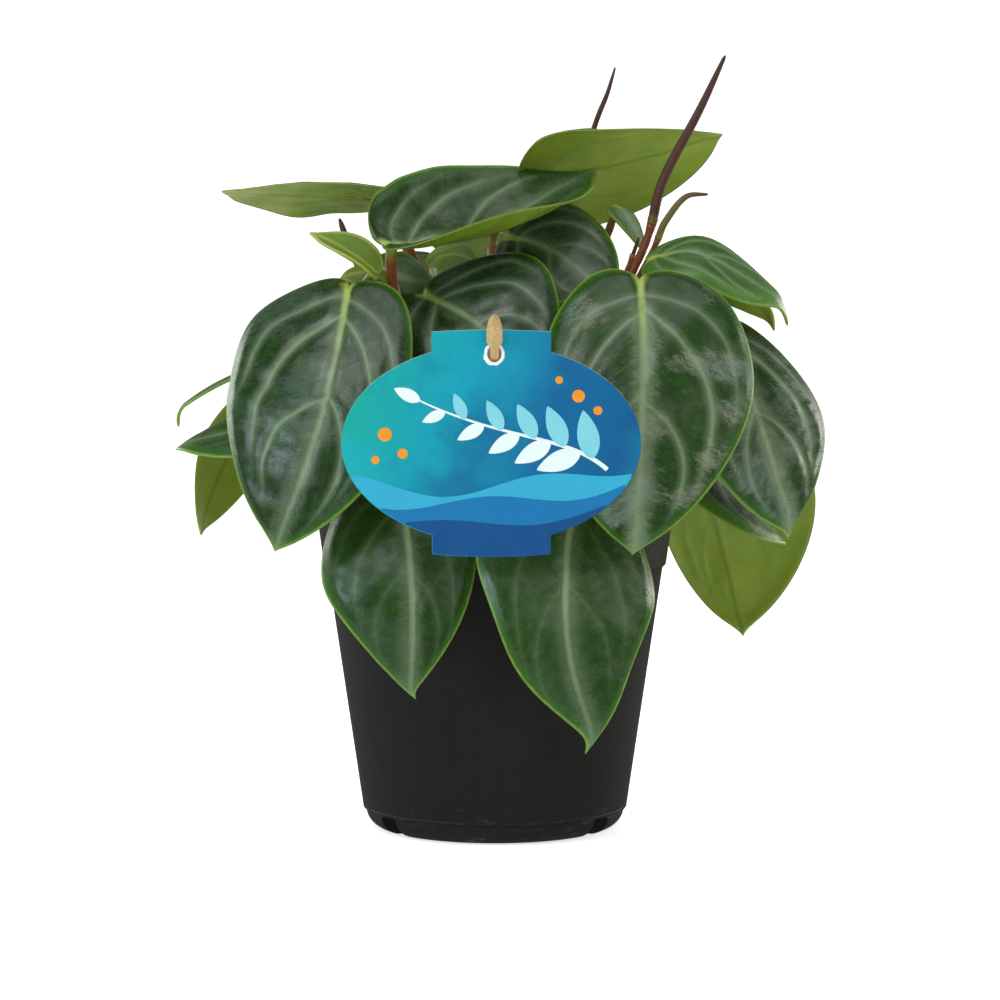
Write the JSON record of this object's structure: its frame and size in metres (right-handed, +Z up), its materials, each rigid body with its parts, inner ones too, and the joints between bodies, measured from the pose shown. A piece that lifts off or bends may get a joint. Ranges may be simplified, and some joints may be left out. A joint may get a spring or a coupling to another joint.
{
  "type": "potted peperomia plant",
  "caption": "Potted peperomia: thick drooping heart-shaped dark leaves with pale sunken veins, slim brown flower spikes, round black nursery pot and an oval label on a wooden stake.",
  "frame": {"origin": "on the pot's axis, at the surface that the pot stands on, in the middle of the pot's centre foot", "axes": "+Z up along the pot's axis; -Y is the front, where the label faces; +X is the plant's right as seen from the front"},
  "size_m": [0.2156, 0.1778, 0.2582],
  "materials": {
    "pot_plastic": "moulded black nursery pot, faint sheen",
    "potting_mix": "moist dark potting mix, matt; wood's density stands in",
    "leaf": "fleshy satin-glossy leaf, dark green with pale sunken veins, light green underneath; leather's density stands in",
    "young_leaf": "young yellow-green leaf, satin",
    "petiole": "red-brown fleshy stem and petioles, satin",
    "flower_spike": "dark brown flower spike, finely beaded, matt",
    "label_card": "printed plastic card, teal to blue, bare of words, satin",
    "pale_wood": "pale plain wood, matt"
  },
  "bodies": {
    "root": {"pot": "pot_plastic", "soil": "potting_mix", "label": "label_card", "label_stake": "pale_wood", "stem_left": "petiole", "stem_right": "petiole", "stem_back": "petiole", "leaf_front_left": "leaf", "leaf_front_right": "leaf", "leaf_right": "leaf", "leaf_right_low": "leaf", "leaf_right_under": "leaf", "leaf_low_left": "leaf", "leaf_low_right": "leaf", "leaf_top": "leaf", "leaf_top_right": "leaf", "leaf_top_left": "leaf", "leaf_middle": "leaf", "leaf_centre_back": "leaf", "leaf_small_right": "leaf", "leaf_small_right_low": "leaf", "leaf_left_dark": "leaf", "leaf_left_under": "leaf", "leaf_left_edge": "leaf", "leaf_young_folded": "young_leaf", "leaf_young_left": "young_leaf", "leaf_behind_left": "leaf", "leaf_small_dark": "leaf", "leaf_light_behind": "young_leaf", "leaf_small_grey": "leaf", "leaf_back_left": "leaf", "leaf_back": "leaf", "leaf_back_right": "leaf", "leaf_back_low_left": "leaf", "leaf_back_low_right": "leaf", "leaf_top_back": "leaf", "leaf_top_back_left": "leaf", "leaf_side_right": "leaf", "leaf_side_right_low": "leaf", "leaf_side_left": "leaf", "spike_main": "flower_spike", "spike_back": "flower_spike", "spike_curved": "flower_spike", "spike_bud": "flower_spike", "spike_left": "flower_spike"}
  },
  "joints": []
}
